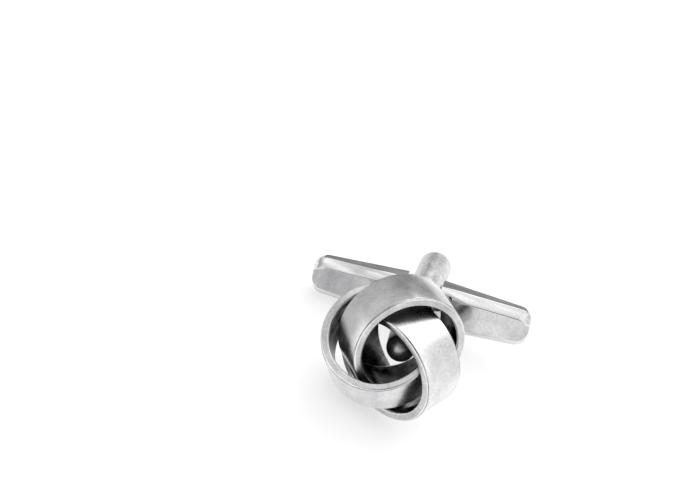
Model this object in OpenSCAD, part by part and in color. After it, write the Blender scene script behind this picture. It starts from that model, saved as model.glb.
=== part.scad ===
/* [Knot] */
// Inside diameter of each of the three bands
band_inner_d = 8.9; // [8.8:0.02:9.2]
// Width of each band, from one rim to the other
band_w = 4.34; // [3.6:0.02:4.4]
// Thickness of the band metal
band_t = 0.78; // [0.44:0.02:0.8]
// Radius on the rims of the bands
rim_r = 0.2; // [0.1:0.05:0.2]
// How far the middle of each band stands off the middle of the knot
band_shift = 1.11; // [1.08:0.01:1.2]
// Tilt of each band about the line from the knot's middle to its own
band_tilt = 36.9; // [36.4:0.1:37.4]
// How far the open front of the knot leans away from the line of the post
knot_lean = 11.7; // [0:0.1:20]
// Side that the open front leans to, round the post
knot_lean_side = 169; // [0:0.5:359]
// Turn of the knot about its own open front
knot_spin = -49.7; // [-180:0.1:180]
// How far the knot's middle stands to the right of the line of the post
knot_off_x = -0.49; // [-0.8:0.01:0]
// How far the knot's middle stands over the line of the post
knot_off_z = 0.34; // [0:0.01:0.5]

/* [Post] */
// Diameter of the post
post_d = 3; // [2.6:0.05:3.1]
// Diameter of the post's domed inner end, inside the knot
post_root_d = 2.6; // [2.4:0.05:2.8]
// Length of the slender root that widens from the dome to the full post
post_root = 2.6; // [2:0.1:3.2]
// Distance from the knot's middle to the centre of the post's domed inner end
post_dome_y = 0.8; // [0.6:0.1:2]
// Distance from the knot's middle to the hinge pin
pivot_y = 10.8; // [10.8:0.1:12]
// Distance from the knot's middle to the far end of the post
post_end_y = 18.4; // [16:0.1:18.6]
// Rounding of the post's far end
post_end_r = 0.3; // [0.2:0.1:0.6]
// Diameter of the hinge pin
pin_d = 0.9; // [0.8:0.05:1]
// How far the pin's domed heads stand out of the post
pin_head = 0.12; // [0.05:0.01:0.2]

/* [Toggle bar] */
// Length of the bar over its two ends
bar_l = 20.5; // [19:0.1:21]
// Height of the bar, along the pin, at its middle
bar_w = 4.55; // [4.2:0.05:4.8]
// Height of the bar at its ends, before they are rounded
bar_tip_w = 3.6; // [3:0.1:4]
// Thickness of the bar, along the post, at its middle
bar_t = 2.95; // [2.6:0.05:3.1]
// Thickness of the bar at its ends, before they are rounded
bar_tip_t = 2.1; // [1.8:0.1:2.4]
// Width taken off each long edge at the middle of the bar
bevel = 0.7; // [0.4:0.05:0.9]
// Width taken off each long edge at the ends of the bar
tip_bevel = 0.75; // [0.4:0.05:0.9]
// Rounding of the ends seen along the post
nose_r = 1.2; // [0.8:0.1:1.4]
// Rounding of the ends seen along the pin
nose_side_r = 0.8; // [0.5:0.1:0.9]
// Gap between the post and the shoulder of each wing, with the bar square
shoulder_gap = 0.15; // [0.1:0.05:0.5]
// Thickness of the tongue between the two wings
tongue_t = 1.4; // [1.2:0.05:1.5]
// Width of the tongue, along the post
tongue_w = 2.3; // [2:0.1:2.4]
// Furthest that the bar tips each way from square
bar_swing = 35; // [10:1:38]

/* [Rest on a table] */
// Slope of the post down from the knot to its far end
rest_slope = 13.72; // [13:0.01:17]
// Roll about the post that brings one end of the bar down to the table
rest_roll = -7.46; // [-8:0.01:-5]
// Height of the knot's middle over the table
rest_h = 5.76; // [5.7:0.01:6.2]
// Place of the knot's middle in front of the middle of the whole
rest_y = -6.3; // [-6.6:0.01:-5]

/* [Hidden] */
$fn = 96;
// Gap between parts that are fixed to each other
fit_gap = 0.03;
// Radial running clearance of the bar on its pin
pin_play = 0.04;
// Clearance on each side of the tongue in its slot
slot_play = 0.08;
// Clearance between the wings and the post at the end of their swing
wing_play = 0.12;
silver = "gainsboro";
bright = "whitesmoke";
post_r = post_d / 2;
slot_h = tongue_t + 2 * slot_play;
// Half length of the slot: the tongue tipped as far as it goes, measured at the post's side
slot_half = post_r * tan(bar_swing) + tongue_w / 2 / cos(bar_swing) + wing_play;
// Where a tipped wing would meet the post, on the bar's middle line
wing_start = (post_r + wing_play) / cos(bar_swing);
// How much further out that is for each millimetre towards the bar's faces
wing_flare = tan(bar_swing);
// Half length of the tongue, which runs on into both wings
tongue_reach = wing_start + wing_flare * tongue_w;

// Stands the whole cufflink on the table as it lies by itself
module at_rest() {
    translate([0, rest_y, rest_h])
        rotate([-rest_slope, 0, 0])
            rotate([0, rest_roll, 0])
                children();
}

// Turns the knot from its own open front to its place on the post
module knot_turn() {
    translate([knot_off_x, 0, knot_off_z])
        rotate([0, knot_lean_side, 0])
            rotate([knot_lean, 0, 0])
                rotate([0, -knot_lean_side, 0])
                    rotate([90, 0, 0])
                        rotate([0, 0, knot_spin])
                            children();
}

// Half section of a band, with rounded rims
module band_section() {
    inner = band_inner_d / 2;
    translate([inner + rim_r, -band_w / 2 + rim_r])
        square([band_t - 2 * rim_r, band_w - 2 * rim_r]);
    translate([inner, -band_w / 2 + rim_r])
        square([band_t, band_w - 2 * rim_r]);
    translate([inner + rim_r, -band_w / 2])
        square([band_t - 2 * rim_r, band_w]);
    for (x = [inner + rim_r, inner + band_t - rim_r], y = [-1, 1])
        translate([x, y * (band_w / 2 - rim_r)])
            circle(r = rim_r, $fn = 24);
}

// One ring of the knot, with the seat that the post passes through
module band(index) {
    color(silver)
        at_rest()
            difference() {
                knot_turn()
                    rotate([0, 0, index * 120])
                        translate([band_shift, 0, 0])
                            rotate([band_tilt, 0, 0])
                                rotate_extrude()
                                    band_section();
                rotate([-90, 0, 0])
                    cylinder(d = post_d + 2 * fit_gap, h = pivot_y);
            }
}

module band_low() {
    band(0);
}

module band_right() {
    band(1);
}

module band_left() {
    band(2);
}

// Straight post with a domed inner end, a rounded far end and a slot for the tongue
module post() {
    color(bright)
        at_rest()
            difference() {
                union() {
                    translate([0, post_dome_y, 0])
                        sphere(d = post_root_d);
                    translate([0, post_dome_y, 0])
                        rotate([-90, 0, 0])
                            rotate_extrude()
                                post_section(post_end_y - post_dome_y);
                }
                translate([0, pivot_y, 0])
                    cube([2 * post_d, 2 * slot_half, slot_h], center = true);
                translate([0, pivot_y, 0])
                    cylinder(d = pin_d + 2 * fit_gap, h = 2 * post_d, center = true);
            }
}

// Half section of the post from its dome to its rounded far end
module post_section(len) {
    polygon([
        [0, 0],
        [post_root_d / 2, 0],
        [post_r, post_root],
        [post_r, len - post_end_r],
        [post_r - post_end_r, len],
        [0, len]
    ]);
    translate([post_r - post_end_r, len - post_end_r])
        circle(r = post_end_r, $fn = 32);
}

// Pin through the post's two cheeks, with low domed heads
module hinge_pin() {
    shank = post_d / 2;
    color(bright)
        at_rest()
            translate([0, pivot_y, 0])
                rotate_extrude() {
                    translate([0, -shank])
                        square([pin_d / 2, 2 * shank]);
                    for (side = [-1, 1])
                        pin_dome(side, shank);
                }
}

// Half section of one domed head of the pin
module pin_dome(side, shank) {
    dome_r = (pow(pin_d / 2, 2) + pow(pin_head, 2)) / (2 * pin_head);
    intersection() {
        translate([0, side * (shank + pin_head - dome_r)])
            circle(r = dome_r);
        translate([0, side > 0 ? shank : -shank - pin_head])
            square([pin_d / 2, pin_head]);
    }
}

// Long outline of the bar, from half_mid at its middle to half_tip at its rounded ends
module bar_outline(half_mid, half_tip, round_r) {
    reach = bar_l / 2;
    fall = (half_mid - half_tip) / reach;
    centre_x = reach - round_r;
    centre_y = half_mid - fall * centre_x - round_r * sqrt(1 + fall * fall);
    touch_x = centre_x + round_r * sin(atan(fall));
    touch_y = centre_y + round_r * cos(atan(fall));
    for (x = [-1, 1]) {
        polygon([
            [0, -half_mid],
            [x * touch_x, -touch_y],
            [x * reach, -centre_y],
            [x * reach, centre_y],
            [x * touch_x, touch_y],
            [0, half_mid]
        ]);
        for (y = [-1, 1])
            translate([x * centre_x, y * centre_y])
                circle(r = round_r);
    }
}

// Eight-sided bar with rounded ends: what its four pairs of long faces leave
module bar_blank() {
    high = 2 * bar_w;
    diagonal = (bar_w + bar_t) / 2 - bevel;
    tip_diagonal = (bar_tip_w + bar_tip_t) / 2 - tip_bevel;
    intersection() {
        rotate([90, 0, 0])
            linear_extrude(high, center = true)
                bar_outline(bar_w / 2, bar_tip_w / 2, nose_r);
        linear_extrude(high, center = true)
            bar_outline(bar_t / 2, bar_tip_t / 2, nose_side_r);
        for (turn = [45, -45])
            rotate([turn, 0, 0])
                linear_extrude(high, center = true)
                    bar_outline(diagonal / sqrt(2), tip_diagonal / sqrt(2), nose_r);
    }
}

// Room that the post needs as the bar tips each way
module swing_room() {
    flare_y = bar_t;
    flare_x = wing_start + flare_y * wing_flare;
    cube([2 * (post_r + shoulder_gap), 2 * bar_t, 2 * bar_w], center = true);
    linear_extrude(2 * (post_r + wing_play), center = true)
        polygon([
            [wing_start, 0],
            [flare_x, flare_y],
            [-flare_x, flare_y],
            [-wing_start, 0],
            [-flare_x, -flare_y],
            [flare_x, -flare_y]
        ]);
}

// Toggle bar: two wings on a tongue that turns on the pin
module toggle_bar() {
    color(bright)
        at_rest()
            translate([0, pivot_y, 0])
                difference() {
                    union() {
                        difference() {
                            bar_blank();
                            swing_room();
                        }
                        cube([2 * tongue_reach, tongue_w, tongue_t], center = true);
                    }
                    cylinder(d = pin_d + 2 * pin_play, h = 2 * tongue_t, center = true);
                }
}

band_low();
band_right();
band_left();
post();
hinge_pin();
toggle_bar();
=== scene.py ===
import bpy
import bmesh
from math import atan, cos, hypot, pi, radians, sin, sqrt, tan
from mathutils import Matrix, Vector


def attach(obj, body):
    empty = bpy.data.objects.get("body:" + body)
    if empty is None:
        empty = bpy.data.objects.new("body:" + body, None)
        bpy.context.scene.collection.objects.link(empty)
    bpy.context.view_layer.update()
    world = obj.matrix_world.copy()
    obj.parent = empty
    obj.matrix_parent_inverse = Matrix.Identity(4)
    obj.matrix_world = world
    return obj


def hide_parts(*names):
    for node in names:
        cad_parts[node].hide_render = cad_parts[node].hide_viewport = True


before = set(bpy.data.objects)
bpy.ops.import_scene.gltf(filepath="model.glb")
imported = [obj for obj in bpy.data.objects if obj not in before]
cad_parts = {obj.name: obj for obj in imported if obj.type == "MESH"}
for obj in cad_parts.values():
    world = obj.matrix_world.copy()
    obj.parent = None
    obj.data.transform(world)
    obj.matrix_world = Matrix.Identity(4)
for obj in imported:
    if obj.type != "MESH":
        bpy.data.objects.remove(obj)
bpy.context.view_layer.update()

mm = 0.001  # the sizes below are in millimetres, the scene is in metres

# Camera: the lens and the place give the knot the same view as in the photograph
camera = {
    "lens": 153.7,
    "sensor": 36,  # width
    "nearest": 10,  # nothing closer than this is drawn
    "place": (3.418, -201.070, 180.949),
    "tilt": (47.970, -14.769, 16.154),  # degrees
}

# The way the cufflink lies: the same turns as its solids have
rest = {
    "slope": 13.72,  # the post runs down to its far end
    "roll": -7.46,  # one end of the bar is down on the table
    "middle": (0, -6.3, 5.76),  # the point of the post's line beside the middle of the knot
}


def placeCamera():
    lensData = bpy.data.cameras.new("camera")
    lensData.lens = camera["lens"]
    lensData.sensor_width = camera["sensor"]
    lensData.clip_start = camera["nearest"] * mm
    seen = bpy.data.objects.new("camera", lensData)
    seen.location = [v * mm for v in camera["place"]]
    seen.rotation_euler = [radians(a) for a in camera["tilt"]]
    bpy.context.scene.collection.objects.link(seen)
    bpy.context.scene.camera = seen


def shifted(x, y, z):
    return Matrix.Translation((x * mm, y * mm, z * mm))


def turned(degrees, axis):
    return Matrix.Rotation(radians(degrees), 4, axis)


def atRest():
    # from the cufflink's own frame, post along +Y and pin along +Z, to the table
    return shifted(*rest["middle"]) @ turned(-rest["slope"], "X") @ turned(rest["roll"], "Y")


# Meshes

def linkMesh(name, mesh, material, sharpFrom=None):
    piece = bpy.data.objects.new(name, mesh)
    bpy.context.scene.collection.objects.link(piece)
    mesh.materials.clear()
    mesh.materials.append(material)
    mesh.shade_smooth()
    if sharpFrom:
        mesh.set_sharp_from_angle(angle=radians(sharpFrom))
    return piece


def applyModifiers(piece):
    bpy.context.view_layer.update()
    seen = piece.evaluated_get(bpy.context.evaluated_depsgraph_get())
    done = bpy.data.meshes.new_from_object(seen)
    old = piece.data
    piece.modifiers.clear()
    piece.data = done
    bpy.data.meshes.remove(old)


def finishedMesh(name, work):
    bmesh.ops.recalc_face_normals(work, faces=work.faces)
    mesh = bpy.data.meshes.new(name)
    work.to_mesh(mesh)
    work.free()
    return mesh


def turnedMesh(name, outline, steps, closed=False):
    # turns an outline of (radius, along) points about the Z axis
    work = bmesh.new()
    rings = []
    for k in range(steps):
        a = 2 * pi * k / steps
        ring = []
        for radius, along in outline:
            if radius > 0 or not rings:
                ring.append(work.verts.new((radius * cos(a) * mm, radius * sin(a) * mm, along * mm)))
            else:
                ring.append(rings[0][len(ring)])  # a point on the axis belongs to all the rings
        rings.append(ring)
    count = len(outline)
    for k in range(steps):
        here, after = rings[k], rings[(k + 1) % steps]
        for j in range(count if closed else count - 1):
            corners = [here[j], after[j], after[(j + 1) % count], here[(j + 1) % count]]
            face = list(dict.fromkeys(corners))
            if len(face) > 2:
                work.faces.new(face)
    return finishedMesh(name, work)


def closedMesh(name, points, faces):
    work = bmesh.new()
    corners = [work.verts.new([v * mm for v in point]) for point in points]
    for face in faces:
        work.faces.new([corners[k] for k in face])
    return finishedMesh(name, work)


def arc(middle, radius, start, end, steps):
    # points of an arc between two angles in degrees, both ends included
    angles = [radians(start + (end - start) * k / steps) for k in range(steps + 1)]
    return [(middle[0] + radius * cos(a), middle[1] + radius * sin(a)) for a in angles]


# Solids to cut with

def prism(name, outline, half):
    # an outline in x and y, standing half its height below and above zero
    count = len(outline)
    points = [(x, y, -half) for x, y in outline] + [(x, y, half) for x, y in outline]
    faces = [list(range(count))[::-1], list(range(count, 2 * count))]
    faces += [[k, (k + 1) % count, count + (k + 1) % count, count + k] for k in range(count)]
    return closedMesh(name, points, faces)


def block(name, size):
    x, y, z = [v / 2 for v in size]
    return prism(name, [(-x, -y), (x, -y), (x, y), (-x, y)], z)


def bore(gap, half):
    # a round hole for the pin, with a gap round it, that reaches this far above and below zero
    r, steps = pinSize["across"] / 2 + gap, pinSize["steps"]
    return turnedMesh("bore", [(0, -half), (r, -half), (r, half), (0, half)], steps)


def cutAway(piece, cutters):
    for mesh in cutters:
        cutter = bpy.data.objects.new("cutter", mesh)
        bpy.context.scene.collection.objects.link(cutter)
        cut = piece.modifiers.new("cut", "BOOLEAN")
        cut.operation = "DIFFERENCE"
        cut.solver = "EXACT"
        cut.object = cutter
        applyModifiers(piece)
        bpy.data.objects.remove(cutter)
        bpy.data.meshes.remove(mesh)


softEdge = {"width": 0.05, "steps": 3, "sharper": 40, "sharpFrom": 30}  # angles in degrees


def softenEdges(piece):
    # breaks the sharp edges, as polishing leaves them
    soft = piece.modifiers.new("soft edges", "BEVEL")
    soft.width = softEdge["width"] * mm
    soft.segments = softEdge["steps"]
    soft.limit_method = "ANGLE"
    soft.angle_limit = radians(softEdge["sharper"])
    applyModifiers(piece)
    piece.data.shade_smooth()
    piece.data.set_sharp_from_angle(angle=radians(softEdge["sharpFrom"]))


# Finishes

noiseLow, noiseHigh = 0.3, 0.7  # most of a noise lies between these values
rippleDepth = 0.02
scratchDepth = 0.004


def addNode(tree, kind, **settings):
    node = tree.nodes.new(kind)
    for key, value in settings.items():
        if key.startswith("in_"):
            node.inputs[key[3:].replace("_", " ")].default_value = value
        else:
            setattr(node, key, value)
    return node


def polishedMetal(name, look):
    # bright plated metal: soft ripples from polishing, fine scratches, specks and a little haze, and patches
    # of painted light and shade where a finish lists them
    metal = bpy.data.materials.new(name)
    metal.use_nodes = True
    tree = metal.node_tree
    shader = tree.nodes["Principled BSDF"]
    shader.inputs["Metallic"].default_value = 1
    shader.inputs["Specular Tint"].default_value = (*[look.get("glance", 1)] * 3, 1)  # metal seen edge on
    where = addNode(tree, "ShaderNodeTexCoord").outputs["Object"]

    def noise(size, detail, stretch=(1, 1, 1), shift=(0, 0, 0)):
        squash = addNode(tree, "ShaderNodeMapping")
        squash.inputs["Scale"].default_value = stretch
        squash.inputs["Location"].default_value = [v * mm for v in shift]
        tree.links.new(where, squash.inputs["Vector"])
        cloud = addNode(tree, "ShaderNodeTexNoise", in_Scale=1 / (size * mm), in_Detail=detail)
        tree.links.new(squash.outputs["Vector"], cloud.inputs["Vector"])
        return cloud.outputs["Fac"]

    def spread(source, low, high, fromLow=noiseLow, fromHigh=noiseHigh, kind="LINEAR"):
        ramp = addNode(tree, "ShaderNodeMapRange", interpolation_type=kind, in_From_Min=fromLow,
                       in_From_Max=fromHigh, in_To_Min=low, in_To_Max=high)
        tree.links.new(source, ramp.inputs["Value"])
        return ramp.outputs["Result"]

    def scaled(colour, factor):
        product = addNode(tree, "ShaderNodeVectorMath", operation="SCALE")
        tree.links.new(colour, product.inputs[0])
        tree.links.new(factor, product.inputs["Scale"])
        return product.outputs[0]

    haze = noise(look["hazeSize"], 4, shift=look.get("hazeShift", (0, 0, 0)))
    shade = addNode(tree, "ShaderNodeValToRGB")
    tones = [(noiseLow, look["dark"]), (noiseHigh, look["light"])]
    for stop, (value, tone) in zip(shade.color_ramp.elements, tones):
        stop.position = value
        stop.color = (*tone, 1)
    tree.links.new(haze, shade.inputs["Fac"])
    streaks = noise(look["streakSize"], 3, look["streakWay"])
    worn = scaled(shade.outputs["Color"], spread(streaks, look["streak"], 1))
    specks = noise(look["speckSize"], 3)
    worn = scaled(worn, spread(specks, 1 - look["speck"], 1 + look["speck"]))
    for spot in look.get("paintedLightSpots", []):
        # a patch of painted shade where its level is below 1, of painted highlight where it is above 1
        away = addNode(tree, "ShaderNodeVectorMath", operation="DISTANCE")
        away.inputs[1].default_value = [v * mm for v in spot["place"]]
        tree.links.new(where, away.inputs[0])
        inner, outer = spot["inner"] * mm, spot["outer"] * mm
        worn = scaled(worn, spread(away.outputs["Value"], spot["level"], 1, inner, outer, "SMOOTHSTEP"))
    tree.links.new(worn, shader.inputs["Base Color"])
    tree.links.new(spread(haze, *look["roughness"]), shader.inputs["Roughness"])
    ripple = addNode(tree, "ShaderNodeBump", in_Strength=look["ripple"], in_Distance=rippleDepth * mm)
    tree.links.new(noise(look["rippleSize"], 1), ripple.inputs["Height"])
    scratches = addNode(tree, "ShaderNodeBump", in_Strength=look["scratch"], in_Distance=scratchDepth * mm)
    tree.links.new(noise(look["scratchSize"], 6, look["scratchWay"]), scratches.inputs["Height"])
    tree.links.new(ripple.outputs["Normal"], scratches.inputs["Normal"])
    tree.links.new(scratches.outputs["Normal"], shader.inputs["Normal"])
    return metal


# In each finish a "Way" squeezes its pattern along X, Y and Z. A spot is a painted shade (level below 1) or a
# painted highlight (level above 1), full within its inner radius and gone past its outer one; its level is
# the share of the brightness that it leaves.
bandFinish = {
    "light": (0.90, 0.90, 0.91), "dark": (0.76, 0.76, 0.77), "roughness": (0.22, 0.34),
    "hazeSize": 2.2, "ripple": 0.35, "rippleSize": 2.4,
    "streak": 0.84, "streakSize": 1.2, "streakWay": (1, 0.5, 0.5),
    "scratch": 0.6, "scratchSize": 0.3, "scratchWay": (1, 1, 1),
    "speck": 0.10, "speckSize": 0.24,
    # painted shade: patches that darken parts of the bands, their rims as well
    "paintedLightSpots": [
        {"place": (-5.2, -7.4, 8.2), "inner": 1.0, "outer": 3.4, "level": 0.52},
        {"place": (-0.8, -4.3, 11.6), "inner": 0.8, "outer": 2.8, "level": 0.62},
        {"place": (1.6, -4.3, 11.8), "inner": 0.6, "outer": 2.4, "level": 0.72},
        {"place": (3.9, -8.3, 8.8), "inner": 1.2, "outer": 3.2, "level": 0.80},
        {"place": (-3.9, -6.6, 2.3), "inner": 0.6, "outer": 1.8, "level": 0.3},
    ],
}
# the inside of the bands: painted shade, a dark copy of the band metal with its edge-on reflection turned
# down, standing in for the shade inside the knot
insidePaintedShade = {
    "light": (0.28, 0.28, 0.285), "dark": (0.09, 0.09, 0.092), "roughness": (0.10, 0.22),
    "hazeSize": 1.1, "ripple": 0.6, "rippleSize": 1.0,
    "streak": 0.5, "streakSize": 0.8, "streakWay": (1, 0.4, 1),
    "scratch": 0.5, "scratchSize": 0.4, "scratchWay": (1, 1, 1),
    "speck": 0.15, "speckSize": 0.3,
    "glance": 0.25,
    # painted light and shade inside the knot: levels above 1 are painted highlights, levels below 1 painted
    # shade
    "paintedLightSpots": [
        {"place": (2.9, -8.4, 1.6), "inner": 0.8, "outer": 3.6, "level": 3.1},
        {"place": (-2.7, -3.1, 4.1), "inner": 0.5, "outer": 2.2, "level": 0.25},
        {"place": (-6.2, -6.4, 6.0), "inner": 0.5, "outer": 2.5, "level": 1.2},
        {"place": (3.9, -4.3, 7.9), "inner": 0.6, "outer": 2.5, "level": 2.6},
        {"place": (0.3, -5.5, 2.5), "inner": 0.5, "outer": 2.0, "level": 0.4},
        {"place": (-5.2, -6.6, 3.1), "inner": 0.5, "outer": 1.6, "level": 0.3},
    ],
}
# the flat of each rim: painted shade, a darker copy of the band metal
rimPaintedShade = dict(bandFinish, light=(0.72, 0.72, 0.73), dark=(0.50, 0.50, 0.51), hazeSize=1.6)
# along the outer edge of each rim: a painted dark reflection, a thin near-black line
rimLinePaintedReflection = dict(bandFinish, light=(0.58, 0.58, 0.59), dark=(0.05, 0.05, 0.052), hazeSize=1.3, glance=0.4)
postFinish = {
    "light": (0.74, 0.74, 0.75), "dark": (0.60, 0.60, 0.61), "roughness": (0.34, 0.44),
    "hazeSize": 0.9, "ripple": 0.4, "rippleSize": 1.2,
    "streak": 0.85, "streakSize": 0.6, "streakWay": (1, 0.15, 1),
    "scratch": 0.6, "scratchSize": 0.3, "scratchWay": (1, 1, 1),
    "speck": 0.20, "speckSize": 0.26,
}
pinFinish = dict(postFinish, light=(0.62, 0.62, 0.63), roughness=(0.16, 0.24))
# the bar's narrow faces and bevels, polished lengthwise
barFinish = {
    "light": (0.86, 0.86, 0.87), "dark": (0.78, 0.78, 0.79), "roughness": (0.06, 0.12),
    "hazeSize": 2.0, "ripple": 0.3, "rippleSize": 2.0,
    "streak": 0.55, "streakSize": 0.5, "streakWay": (0.04, 1, 1),
    "scratch": 0.45, "scratchSize": 0.4, "scratchWay": (0.25, 1, 1),
    "speck": 0.04, "speckSize": 0.24,
}
# its broad faces: painted shade, a darker copy of the bar metal whose haze is shifted so that the left wing
# comes out darker, with streaks across
barFaceStreaksAndShade = {
    "light": (0.76, 0.76, 0.77), "dark": (0.34, 0.34, 0.35), "roughness": (0.08, 0.16),
    "hazeSize": 9.0, "hazeShift": (14, 0, 0), "ripple": 0.4, "rippleSize": 2.0,
    "streak": 0.7, "streakSize": 2.0, "streakWay": (1, 0.05, 0.05),
    "scratch": 0.45, "scratchSize": 0.4, "scratchWay": (0.25, 1, 1),
    "speck": 0.10, "speckSize": 0.24,
    # a painted shade and a painted highlight on the broad faces
    "paintedLightSpots": [
        {"place": (3.7, 3.1, 4.5), "inner": 0.9, "outer": 1.4, "level": 0.58},
        {"place": (7.0, 3.0, 2.4), "inner": 1.2, "outer": 2.6, "level": 1.25},
    ],
}


# Bands of the knot

band = {
    "inside": 8.9,  # diameter
    "width": 4.34,
    "metal": 0.78,  # thickness
    "rimRound": 0.2,
    "shift": 1.11,  # of a band's middle from the knot's middle
    "tilt": 36.9,
    "steps": 360,  # faces round a band
    "rimSteps": 7,  # faces round each rounded corner
    "flatFaces": (-1, 0, 1),  # counted outwards from the flat of a rim
    "lineFaces": (5, 6),  # the painted dark reflection along the outer edge of a rim
}
knotTurn = {"lean": 11.7, "leanSide": 169, "spin": -49.7, "offset": (-0.49, 0, 0.34)}


def bandOutline():
    # its four rounded corners: from one rim to the outside, the other rim and the inside
    r, steps = band["rimRound"], band["rimSteps"]
    inner = band["inside"] / 2 + r
    outer = band["inside"] / 2 + band["metal"] - r
    half = band["width"] / 2 - r
    outline = []
    for k, corner in enumerate([(outer, -half), (outer, half), (inner, half), (inner, -half)]):
        outline += arc(corner, r, 90 * k - 90, 90 * k, steps)
    return outline


def rimFaces(counted):
    # faces of the outline on both rims, counted outwards from the flat of each
    perCorner = band["rimSteps"] + 1
    firstFlat, secondFlat = 4 * perCorner - 1, 2 * perCorner - 1
    return {(firstFlat + k) % (4 * perCorner) for k in counted} | {secondFlat - k for k in counted}


def bandPlace(index):
    # the knot leans to one side of the post, and its three bands differ by a third of a turn
    side = knotTurn["leanSide"]
    lean = turned(side, "Y") @ turned(knotTurn["lean"], "X") @ turned(-side, "Y")
    turn = turned(90, "X") @ turned(knotTurn["spin"] + 120 * index, "Z")
    return (atRest() @ shifted(*knotTurn["offset"]) @ lean @ turn
            @ shifted(band["shift"], 0, 0) @ turned(band["tilt"], "X"))


def makeBand(name, index, metals):
    outline = bandOutline()
    mesh = turnedMesh(name + "_polished", outline, band["steps"], closed=True)
    piece = linkMesh(name + "_polished", mesh, metals["outside"])
    # the inside takes painted shade, the flat of each rim a darker painted shade, and the line along its
    # outer edge a painted dark reflection
    faces = {
        "inside": {3 * (band["rimSteps"] + 1) - 1},
        "rimLine": rimFaces(band["lineFaces"]),
        "rim": rimFaces(band["flatFaces"]),
    }
    for number, (part, places) in enumerate(faces.items(), start=1):
        mesh.materials.append(metals[part])
        for face in mesh.polygons:
            if face.index % len(outline) in places:
                face.material_index = number
    mesh.transform(bandPlace(index))
    return piece


# Post

postSize = {
    "across": 3.0,
    "rootAcross": 2.6,  # of the dome inside the knot
    "root": 2.6,  # length over which the post widens from its dome
    "dome": 0.8,  # middle of the dome, from the knot's middle
    "pivot": 10.8,
    "end": 18.4,
    "endRound": 0.3,
    "slotLong": 5.15,  # what the tipped tongue needs at the post's side
    "slotGap": 0.08,  # on each side of the bar's tongue
    "boreGap": 0.03,  # round the pin
    "steps": 180,
    "domeSteps": 40,
    "endSteps": 12,
}


def makePost(material):
    r, end, endRound = postSize["across"] / 2, postSize["end"], postSize["endRound"]
    outline = arc((0, postSize["dome"]), postSize["rootAcross"] / 2, -90, 0, postSize["domeSteps"])
    outline[0] = (0, outline[0][1])
    outline.append((r, postSize["dome"] + postSize["root"]))
    outline += arc((r - endRound, end - endRound), endRound, 0, 90, postSize["endSteps"])
    outline.append((0, end))
    mesh = turnedMesh("post_polished", outline, postSize["steps"])
    mesh.transform(turned(-90, "X"))
    piece = linkMesh("post_polished", mesh, material)
    slot = block("slot", (4 * r, postSize["slotLong"], bar["tongue"][2] + 2 * postSize["slotGap"]))
    hole = bore(postSize["boreGap"], 2 * r)
    for cutter in (slot, hole):
        cutter.transform(shifted(0, postSize["pivot"], 0))
    cutAway(piece, [slot, hole])
    softenEdges(piece)
    piece.data.transform(atRest())
    return piece


# Hinge pin

pinSize = {"across": 0.9, "head": 0.12, "steps": 96, "headSteps": 8, "sharpFrom": 35}


def makePin(material):
    # a shank as long as the post is wide, with a low dome at each end
    half, reach, head = pinSize["across"] / 2, postSize["across"] / 2, pinSize["head"]
    domeRound = (half * half + head * head) / (2 * head)
    dome = []
    for k in range(pinSize["headSteps"] + 1):
        x = half * k / pinSize["headSteps"]
        dome.append((x, reach + head - domeRound + sqrt(domeRound * domeRound - x * x)))
    outline = [(x, -y) for x, y in dome] + [(x, y) for x, y in reversed(dome)]
    mesh = turnedMesh("hinge_pin_polished", outline, pinSize["steps"])
    mesh.transform(atRest() @ shifted(0, postSize["pivot"], 0))
    return linkMesh("hinge_pin_polished", mesh, material, pinSize["sharpFrom"])


# Toggle bar

bar = {
    "length": 20.5,
    "high": (4.55, 3.6),  # along the pin: at its middle and at its ends
    "thick": (2.95, 2.1),  # along the post
    "bevel": (0.7, 0.75),
    "noseRound": 1.2,  # of the ends, seen along the post
    "noseSideRound": 0.8,  # seen along the pin
    "edge": 0.13,  # rounding of the long edges
    "edgeSteps": 5,
    "nose": 1.3,  # length at each end that has fine steps
    "noseSteps": 26,
    "straight": 4.5,  # sections on each side of the middle
    "least": 0.02,  # half width that a face keeps at the very end
    "shoulderGap": 0.15,  # between the post and each wing
    "swing": 35,  # degrees each way
    "play": 0.12,  # between the post and the wings at the end of the swing
    "tongue": (7.18, 2.3, 1.4),  # it runs on into both wings
    "boreGap": 0.04,  # round the pin
    "boreReach": 2,  # well past both sides of the tongue
}


def outlineAt(x, middle, tip, roundR):
    # half width of a long outline at x, with its rounded ends
    reach = bar["length"] / 2
    fall = (middle - tip) / reach
    centreX = reach - roundR
    centreY = middle - fall * centreX - roundR * hypot(1, fall)
    if abs(x) <= centreX + roundR * sin(atan(fall)):
        return middle - fall * abs(x)
    return centreY + sqrt(max(0, roundR ** 2 - (abs(x) - centreX) ** 2))


def barSection(x):
    # eight-sided section with rounded corners
    e = bar["edge"]
    high = [v / 2 for v in bar["high"]]
    thick = [v / 2 for v in bar["thick"]]
    slant = [(high[k] + thick[k] - bar["bevel"][k]) / sqrt(2) for k in range(2)]
    h = outlineAt(x, *high, bar["noseRound"]) - e
    t = outlineAt(x, *thick, bar["noseSideRound"]) - e
    d = outlineAt(x, *slant, bar["noseRound"]) - e
    a = max(sqrt(2) * d - t, bar["least"])
    b = max(sqrt(2) * d - h, bar["least"])
    corners = [(t, -a), (t, a), (b, h), (-b, h), (-t, a), (-t, -a), (-b, -h), (b, -h)]
    ring = []
    for k, corner in enumerate(corners):
        ring += [(x, y, z) for y, z in arc(corner, e, 45 * k - 45, 45 * k, bar["edgeSteps"])]
    return ring


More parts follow.
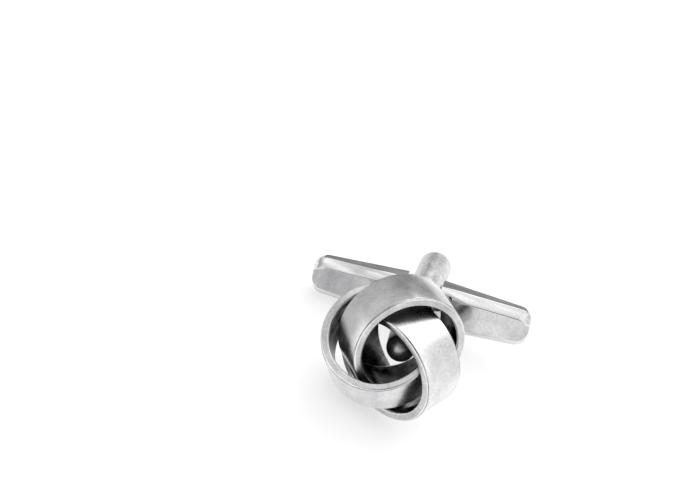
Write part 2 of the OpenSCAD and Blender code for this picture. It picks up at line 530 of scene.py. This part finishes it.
def makeBarBlank(material, faceMaterial):
    reach, steps = bar["length"] / 2, bar["noseSteps"]
    nose = [reach - bar["nose"] * (1 - sin(radians(90 * k / steps))) for k in range(steps + 1)]
    stations = [-x for x in reversed(nose)] + [-bar["straight"], 0, bar["straight"]] + nose
    rings = [barSection(x) for x in stations]
    per = len(rings[0])
    points = [point for ring in rings for point in ring]
    caps = [list(range(per)), list(range((len(rings) - 1) * per, len(rings) * per))]
    sides = []
    for i in range(len(rings) - 1):
        for k in range(per):
            a, b = i * per + k, i * per + (k + 1) % per
            sides.append([a, b, b + per, a + per])
    mesh = closedMesh("toggle_bar_polished", points, caps + sides)
    piece = linkMesh("toggle_bar_polished", mesh, material)
    mesh.materials.append(faceMaterial)
    perCorner = bar["edgeSteps"] + 1
    broadFaces = (perCorner - 1, 5 * perCorner - 1)  # towards the post's far end and the knot
    # the broad faces take the darker metal with painted shade
    for face in mesh.polygons[len(caps):]:
        if (face.index - len(caps)) % per in broadFaces:
            face.material_index = 1
    return piece


def makeBar(material, faceMaterial):
    piece = makeBarBlank(material, faceMaterial)
    postAcross, thick = postSize["across"], bar["thick"][0]
    swing = radians(bar["swing"])
    # room for the post: a straight cut at the shoulders, and a flared one for the swing
    startX = (postAcross / 2 + bar["play"]) / cos(swing)
    flareX = startX + thick * tan(swing)
    wedge = [(startX, 0), (flareX, thick), (-flareX, thick)]
    wedge += [(-x, -y) for x, y in wedge]
    cutAway(piece, [
        block("shoulders", (postAcross + 2 * bar["shoulderGap"], 2 * thick, 2 * bar["high"][0])),
        prism("room", wedge, postAcross / 2 + bar["play"]),
    ])
    softenEdges(piece)
    tongue = linkMesh("tongue", block("tongue", bar["tongue"]), material)
    cutAway(tongue, [bore(bar["boreGap"], bar["boreReach"])])
    softenEdges(tongue)
    work = bmesh.new()
    work.from_mesh(piece.data)
    work.from_mesh(tongue.data)
    work.to_mesh(piece.data)
    work.free()
    bpy.data.objects.remove(tongue)
    piece.data.transform(atRest() @ shifted(0, postSize["pivot"], 0))
    return piece


# Table and light

lamp = {"place": (90, 270, 330), "aim": (0, 0, 0), "size": (460, 330), "power": 0.66}
# a white tent all round, darker behind the cufflink and to its left
room = {
    "white": 1.16,
    "shades": [
        # way to the middle: degrees from +Y and up; then cosine from the middle, and brightness
        {"way": (-8, 4), "stops": [(0.70, 1.0), (0.84, 0.70), (0.95, 0.40)]},
        {"way": (-56, 8), "stops": [(0.56, 1.0), (0.78, 0.66), (0.94, 0.48)]},
        {"way": (179, 43), "stops": [(0.82, 1.0), (0.91, 0.50), (0.965, 0.10)]},  # opening of the tent
    ],
}
table = {
    "half": 1500,  # half of its side
    "paper": 0.50,
    "roughness": 0.7,
    "glow": 0.56,  # the paper is lit from below as well, so that shadows stay light
}


def makeLamp():
    data = bpy.data.lights.new("over", "AREA")
    data.shape = "RECTANGLE"
    data.size, data.size_y = [v * mm for v in lamp["size"]]
    data.energy = lamp["power"]
    over = bpy.data.objects.new("over", data)
    over.location = [v * mm for v in lamp["place"]]
    way = Vector(lamp["aim"]) - Vector(lamp["place"])
    over.rotation_euler = way.to_track_quat("-Z", "Y").to_euler()
    bpy.context.scene.collection.objects.link(over)


def makeRoom():
    world = bpy.data.worlds.new("room")
    world.use_nodes = True
    tree = world.node_tree
    way = addNode(tree, "ShaderNodeTexCoord")
    bright = addNode(tree, "ShaderNodeValue").outputs[0]
    bright.default_value = room["white"]
    for shade in room["shades"]:
        turn, rise = [radians(v) for v in shade["way"]]
        toward = addNode(tree, "ShaderNodeVectorMath", operation="DOT_PRODUCT")
        toward.inputs[1].default_value = (sin(turn) * cos(rise), cos(turn) * cos(rise), sin(rise))
        tree.links.new(way.outputs["Generated"], toward.inputs[0])
        ramp = addNode(tree, "ShaderNodeValToRGB")
        ramp.color_ramp.interpolation = "EASE"
        ramp.color_ramp.elements.new(0.5)  # a third stop between the two that a ramp has
        for stop, (cosine, level) in zip(ramp.color_ramp.elements, shade["stops"]):
            stop.position = cosine
            stop.color = (level, level, level, 1)
        dimmed = addNode(tree, "ShaderNodeMath", operation="MULTIPLY")
        tree.links.new(toward.outputs["Value"], ramp.inputs["Fac"])
        tree.links.new(bright, dimmed.inputs[0])
        tree.links.new(ramp.outputs["Color"], dimmed.inputs[1])
        bright = dimmed.outputs[0]
    tree.links.new(bright, tree.nodes["Background"].inputs["Color"])
    bpy.context.scene.world = world
    bpy.context.scene.view_settings.view_transform = "Standard"


def makeTable():
    paper = bpy.data.materials.new("table_paper")
    paper.use_nodes = True
    shader = paper.node_tree.nodes["Principled BSDF"]
    shader.inputs["Base Color"].default_value = (*[table["paper"]] * 3, 1)
    shader.inputs["Roughness"].default_value = table["roughness"]
    shader.inputs["Emission Color"].default_value = (1, 1, 1, 1)
    shader.inputs["Emission Strength"].default_value = table["glow"]
    half = table["half"]
    corners = [(-half, -half, 0), (half, -half, 0), (half, half, 0), (-half, half, 0)]
    floor = linkMesh("table", closedMesh("table", corners, [[0, 1, 2, 3]]), paper)


placeCamera()
makeLamp()
makeRoom()
makeTable()
print("stage: camera, lights and table")

bandMetals = {
    "outside": polishedMetal("band_metal_polished", bandFinish),
    "inside": polishedMetal("band_metal_inside_painted_shade", insidePaintedShade),
    "rimLine": polishedMetal("band_metal_rim_line_painted_reflection", rimLinePaintedReflection),
    "rim": polishedMetal("band_metal_rim", rimPaintedShade),
}
postMetal = polishedMetal("post_metal_polished", postFinish)
barMetal = polishedMetal("bar_metal_polished", barFinish)
barFaceMetal = polishedMetal("bar_metal_face_painted_shade", barFaceStreaksAndShade)
pinMetal = polishedMetal("pin_metal_polished", pinFinish)
print("stage: finishes")

for index, name in enumerate(["band_low", "band_right", "band_left"]):
    piece = makeBand(name, index, bandMetals)
    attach(piece, "knot_and_post")
    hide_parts(name)
print("stage: bands of the knot")

post = makePost(postMetal)
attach(post, "knot_and_post")
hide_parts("post")
pin = makePin(pinMetal)
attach(pin, "knot_and_post")
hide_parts("hinge_pin")
toggle = makeBar(barMetal, barFaceMetal)
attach(toggle, "bar")
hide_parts("toggle_bar")
print("stage: post, pin and bar")
